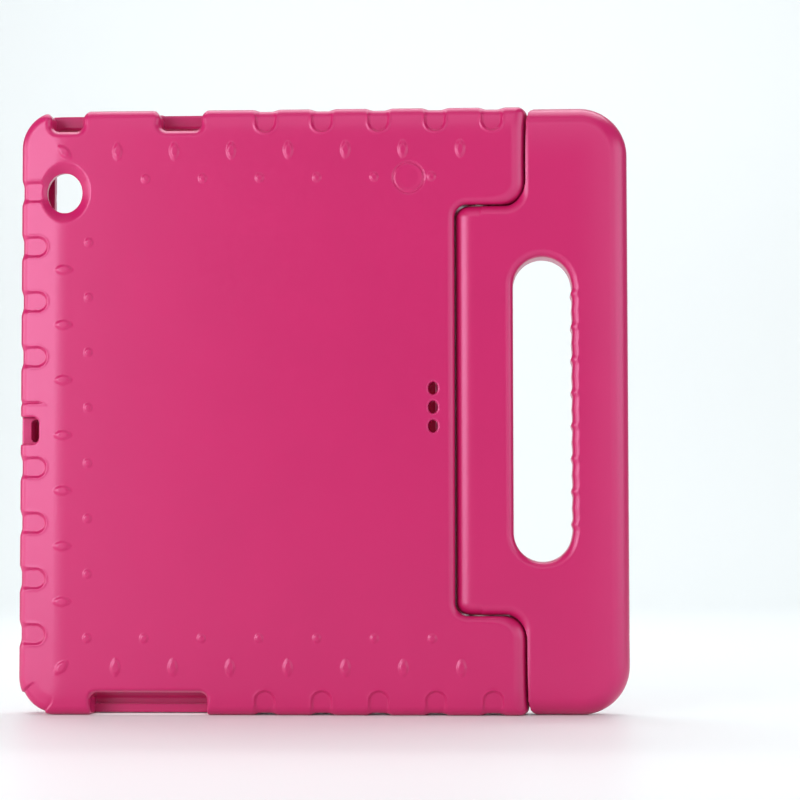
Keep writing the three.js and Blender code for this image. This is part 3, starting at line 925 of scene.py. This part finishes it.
    def bay(self, x: Array, y: Array, z: Array) -> Array:
        """Distance from the space for the tablet and the window in front of its screen."""
        right = self.hinge.notch_x - self.hinge_wall
        low, high = (self.wall, self.wall), (right, self.height - self.wall)
        middle = (self.bay_floor + self.lip_rear) / 2
        deep = (self.lip_rear - self.bay_floor) / 2
        space = rounded(rectangle(x, z, low, high, self.bay_corner), np.abs(y - middle) - deep,
                        self.bay_edge)
        over = self.lip_overlap
        window = rectangle(x, z, (low[0] + over, low[1] + over), (high[0] - over, high[1] - over),
                           self.lip_corner)
        return np.minimum(space, np.maximum(window, middle - y))

    def formula(self, x: Array, y: Array, z: Array) -> Array:
        """The whole shell: the body less each opening, with a soft edge at each."""
        whole = larger(self.body(x, y, z), -self.bay(x, y, z), self.bay_blend)
        whole = larger(whole, -self.camera_hole(x, y, z), self.camera_blend)
        for place in (self.jack, self.button):
            whole = larger(whole, -self.pocket(x, y, z, place), self.pocket_blend)
        whole = larger(whole, -self.connector_opening(x, y, z), self.connector_blend)
        whole = larger(whole, -self.side_port(x, y, z), self.port_blend)
        whole = larger(whole, -self.sound_holes(x, y, z), self.sound_blend)
        low = self.hinge.lobe_height - self.hinge.bore_depth
        bore = self.hinge.sleeve_bore(x, y, z, low, self.hinge.tongue_low)
        return np.maximum(whole, -bore)

    def depths(self, step: float) -> Array:
        """Grid lines along Y, closer near the back face and wider apart behind it."""
        first, last = (self.back + end for end in self.fine_band)
        fine = np.arange(first, last, step * self.fine_cells)
        wide = spaced(fine[-1] + step, self.thickness / 2, step * self.wide_cells, 0)[:-1]
        return np.concatenate([fine, wide, self.thickness / 2 + step * np.arange(3.0)])

    def build(self, detail: Detail) -> bpy.types.Object:
        """Makes the shell's skin, in place."""
        step = detail.step
        across, up = spaced(0, self.hinge.lobe_x, step), spaced(0, self.height, step)
        net = Net(self.formula, across, self.depths(step), up)
        return skin("shell_skin", net, self.left, detail.shell_triangles)


@dataclass
class Handle:
    """The foam handle: the tongue between the lobes, the finger slot and the grip.

    A fade is where something starts and ends, as lengths inwards from the slot's end or side.
    """

    hinge: Hinge
    left: float
    width: float
    height: float
    thickness: float = 20.0
    edge: float = 8.0
    corner: float = 20.5
    grip: float = 24.0
    slot_width: float = 24.6
    slot_length: float = 128.7
    slot_rim: float = 3.5
    nub_pitch: float = 13.9
    nub_count: int = 8
    nub_half: float = 1.5
    nub_proud: float = 0.75
    nub_bow: float = 0.4
    nub_end_fade: Pair = (14.0, 9.0)
    nub_side_fade: Pair = (8.0, 3.0)
    crown: float = 2.0
    crown_reach: float = 24.0
    fullness: float = 3.4
    fall: float = 8.0
    fall_reach: float = 7.0

    @property
    def slot_right(self) -> float:
        """The finger slot's outer side."""
        return self.width - self.grip

    def blank(self, x: Array, y: Array, z: Array) -> Array:
        """The handle's outer form, with a slight crown on both faces."""
        hinge = self.hinge
        low = (hinge.pin_x - self.width, 0)
        outline = rectangle(x, z, low, (self.width, self.height), self.corner)
        way = 1 - np.clip(-outline / self.crown_reach, 0, 1)
        slab = np.abs(y) - self.thickness / 2 + self.crown * way * way
        outer = rounded(outline, slab, self.edge)
        seam_x = hinge.lobe_x + hinge.seam_gap - hinge.tongue_edge
        beside = rounded(x - seam_x, hinge.from_end(z) - hinge.tongue_low,
                         hinge.lobe_corner + hinge.seam_gap - hinge.tongue_edge)
        return np.maximum(outer, rounded(-beside, slab, hinge.tongue_edge))

    def hollows(self, x: Array, y: Array, z: Array) -> Array:
        """Distance from the hollows round the lobes, which flare at the case's two ends.

        The flare is the quarter circle of the seam's edge, added to the hollow's radius.
        """
        hinge = self.hinge
        end = hinge.from_end(z)
        short = np.clip(hinge.seam_edge - end, 0, hinge.seam_edge)
        flare = hinge.seam_edge - np.sqrt(hinge.seam_edge**2 - short**2)
        swing = np.hypot(x - hinge.pin_x, y) - hinge.lobe_swing - hinge.seam_gap - flare
        return rounded(swing, end - hinge.tongue_low, hinge.lobe_corner + hinge.seam_gap)

    def tongue_end(self, x: Array, y: Array) -> Array:
        """Distance from the tongue's inner end, which is round about the pins.

        It is a full oval: both ways over their limits, raised to a power well over two and
        summed. Past the pins it falls away, so that it rounds no other edge there.
        """
        reach, half, power = self.hinge.tongue_swing, self.thickness / 2, self.fullness
        pin_x = self.hinge.pin_x
        inner = np.maximum(pin_x - x, 0) / reach
        oval = (inner**power + (np.abs(y) / half) ** power) ** (1 / power)
        return (oval - 1) * half - self.fall * rise(x, pin_x, pin_x + self.fall_reach)

    def slot(self, x: Array, y: Array, z: Array) -> Array:
        """Distance from the finger slot, whose outer side has a row of nubs.

        The side bows out as a parabola at each nub, and the nub is a round ridge whose height
        falls off as a bell. Both fade out towards the slot's ends and away from that side.
        """
        middle = self.height / 2
        half = self.slot_length / 2
        low = (self.slot_right - self.slot_width, middle - half)
        hole = rectangle(x, z, low, (self.slot_right, middle + half), self.slot_width / 2 - HAIR)
        start = middle - (self.nub_count - 1) / 2 * self.nub_pitch
        aside = from_nearest(z, start, self.nub_pitch, self.nub_count)
        bow = self.nub_bow * (1 - (2 * aside / self.nub_pitch) ** 2)
        nub = self.nub_proud * bell(aside, 0, self.nub_half) - bow
        ends = 1 - rise(np.abs(z - middle), *(half - inward for inward in self.nub_end_fade))
        outer = rise(x, *(self.slot_right - inward for inward in self.nub_side_fade))
        return hole + nub * ends * outer

    def formula(self, x: Array, y: Array, z: Array) -> Array:
        """The whole handle."""
        hinge = self.hinge
        tongue = rounded(self.tongue_end(x, y), -self.hollows(x, y, z),
                         hinge.notch_corner - hinge.tongue_gap)
        whole = np.maximum(self.blank(x, y, z), tongue)
        slab = np.abs(y) - self.thickness / 2
        whole = np.maximum(whole, rounded(-self.slot(x, y, z), slab, self.slot_rim))
        bore = hinge.sleeve_bore(x, y, z, hinge.lobe_height, hinge.tongue_low + hinge.bore_depth)
        return np.maximum(whole, -bore)

    def build(self, detail: Detail) -> bpy.types.Object:
        """Makes the handle's skin, in place."""
        step = detail.step
        net = Net(
            self.formula,
            spaced(self.hinge.pin_x - self.hinge.tongue_swing, self.width, step),
            spaced(-self.thickness / 2, self.thickness / 2, step),
            spaced(0, self.height, step),
        )
        return skin("handle_skin", net, self.left, detail.handle_triangles)


@dataclass
class TabletCase:
    """The whole case: both foam pieces as skins, and the hinge parts with better finishes."""

    detail: Detail
    foam: Foam = field(default_factory=Foam)
    plastic: Plastic = field(default_factory=Plastic)
    steel: Steel = field(default_factory=Steel)

    def hinge(self) -> Hinge:
        """The hinge line, from the pins' place in the frame."""
        low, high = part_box("hinge_pin_lower")
        shell_low, shell_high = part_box("case_shell")
        return Hinge(pin_x=((low.x + high.x) / 2 - shell_low.x) / MM,
                     height=(shell_high.z - shell_low.z) / MM)

    def build(self) -> None:
        """Makes, dresses and places every piece."""
        shell_low, shell_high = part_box("case_shell")
        _, handle_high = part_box("handle")
        hinge = self.hinge()
        height = (shell_high.z - shell_low.z) / MM
        foam = self.foam.material()
        shell = Shell(hinge, shell_low.x, height).build(self.detail)
        self.dress(shell, foam, "case", "case_shell", "foam")
        width = (handle_high.x - shell_low.x) / MM
        handle = Handle(hinge, shell_low.x, width, height).build(self.detail)
        self.dress(handle, foam, "handle", "handle", "foam")
        self.refinish(("lobe_sleeve", "tongue_sleeve"), self.plastic.material())
        self.refinish(("hinge_pin",), self.steel.material())

    @staticmethod
    def dress(piece: bpy.types.Object, material: bpy.types.Material, body: str, node: str,
              slot: str) -> None:
        """Gives a new piece its finish and its body, and hides the frame's node that it replaces."""
        piece.data.materials.append(material)
        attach(piece, body)
        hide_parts(node)
        log.info("%s stands for %s, %d faces", piece.name, node, len(piece.data.polygons))

    @staticmethod
    def refinish(starts: tuple[str, ...], material: bpy.types.Material) -> None:
        """Gives the frame's own nodes whose names start so a better finish."""
        for name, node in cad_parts.items():
            if name.startswith(starts):
                node.data.materials.clear()
                node.data.materials.append(material)
                log.info("%s refinished in %s", name, material.name)


@dataclass(frozen=True)
class Lamp:
    """A soft rectangular light, in metres and watts."""

    name: str
    place: Triple
    size: Pair
    power: float
    aim: Triple = (0.0, 0.0, 0.13)

    def hang(self) -> None:
        """Adds it to the scene, facing the point that it is aimed at."""
        data = bpy.data.lights.new(self.name, "AREA")
        data.shape = "RECTANGLE"
        data.size, data.size_y = self.size
        data.energy = self.power
        made = bpy.data.objects.new(self.name, data)
        made.location = self.place
        way = Vector(self.aim) - Vector(self.place)
        made.rotation_euler = way.to_track_quat("-Z", "Y").to_euler()
        bpy.context.scene.collection.objects.link(made)


LAMPS = (
    Lamp("key", (-0.92, -1.08, 0.36), (1.0, 0.7), 12.5),
    Lamp("left_rim", (-1.4, -0.15, 0.3), (0.9, 0.56), 5.8),
    Lamp("right_front", (0.76, -1.06, 0.34), (0.95, 0.64), 2.6),
    Lamp("right_rim", (1.35, -0.3, 0.42), (1.1, 0.8), 6.2),
    Lamp("front_top", (0.1, -1.15, 0.88), (1.1, 0.4), 2.5),
    Lamp("high_front", (0.0, -0.7, 1.25), (1.2, 0.35), 1.2),
    Lamp("top", (0.0, 0.35, 1.3), (1.4, 1.0), 10.5, aim=(0.0, 0.0, 0.0)),
    Lamp("wall_wash", (0.0, 0.9, 1.7), (2.4, 0.5), 18.0, aim=(0.0, 2.1, 0.2)),
)


@dataclass(frozen=True)
class Viewpoint:
    """The camera that the photograph's perspective asks for, in metres, degrees and millimetres."""

    place: Triple = (0.0806, -0.9962, 0.0816)
    yaw: float = -2.81
    pitch: float = 2.95
    roll: float = -0.09
    lens: float = 105.56
    sensor: float = 36.0
    far_clip: float = 50.0

    def set(self) -> None:
        """Adds the camera, and makes it the scene's."""
        data = bpy.data.cameras.new("camera")
        data.lens = self.lens
        data.sensor_width = self.sensor
        data.clip_end = self.far_clip
        made = bpy.data.objects.new("camera", data)
        yaw, pitch = math.radians(self.yaw), math.radians(self.pitch)
        forward = Vector((math.sin(yaw) * math.cos(pitch), math.cos(yaw) * math.cos(pitch),
                          math.sin(pitch)))
        turn = forward.to_track_quat("-Z", "Y").to_matrix().to_4x4()
        made.matrix_world = (Matrix.Translation(self.place) @ turn
                             @ Matrix.Rotation(math.radians(self.roll), 4, "Z"))
        bpy.context.scene.collection.objects.link(made)
        bpy.context.scene.camera = made


@dataclass
class Room:
    """The pale sweep, the lights and the camera, in metres."""

    floor: float = 0.0
    half_width: float = 1.3
    near: float = -2.0
    bend_start: float = 1.2
    bend_radius: float = 0.9
    wall_top: float = 1.6
    floor_steps: int = 8
    bend_steps: int = 24
    ambient: Triple = (0.93, 0.97, 1.0)
    ambient_strength: float = 0.14
    studio: Studio = field(default_factory=Studio)

    def sweep(self) -> bpy.types.Object:
        """The floor, which bends up into the wall: a profile carried across.

        The profile runs flat, then along a quarter circle, then straight up.
        """
        turn = np.linspace(0, math.pi / 2, self.bend_steps)
        flat = np.linspace(self.near, self.bend_start, self.floor_steps)[:-1]
        along = np.concatenate([flat, self.bend_start + self.bend_radius * np.sin(turn),
                                [self.bend_start + self.bend_radius]])
        up = np.concatenate([np.zeros_like(flat), self.bend_radius * (1 - np.cos(turn)),
                             [self.wall_top]]) + self.floor
        sides = np.array([-self.half_width, self.half_width])
        grid = np.stack(np.broadcast_arrays(sides[:, None], along[None, :], up[None, :]), axis=2)
        count = len(along)
        first = np.arange(count - 1)
        faces = np.stack([first, first + count, first + count + 1, first + 1], axis=1)
        mesh = bpy.data.meshes.new("sweep")
        mesh.from_pydata(grid.reshape(-1, 3).tolist(), [], faces.tolist())
        mesh.polygons.foreach_set("use_smooth", np.ones(len(faces), dtype=bool))
        mesh.update()
        made = bpy.data.objects.new("sweep", mesh)
        bpy.context.scene.collection.objects.link(made)
        made.data.materials.append(self.studio.material())
        return made

    def light(self) -> None:
        """Hangs the lights: most from the left, with the rims, top and wall lit from their own."""
        for lamp in LAMPS:
            lamp.hang()
        world = bpy.data.worlds.new("studio")
        world.use_nodes = True
        background = world.node_tree.nodes["Background"]
        background.inputs["Color"].default_value = (*self.ambient, 1)
        background.inputs["Strength"].default_value = self.ambient_strength
        bpy.context.scene.world = world
        bpy.context.scene.view_settings.view_transform = "Standard"

    def build(self) -> None:
        """Sets the whole room."""
        self.sweep()
        self.light()
        Viewpoint().set()
        log.info("room set")


def main() -> None:
    """Builds the room and the case."""
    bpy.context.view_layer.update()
    Room().build()
    TabletCase(FINAL).build()
    log.info("boxes written")


if __name__ == "__main__":
    main()
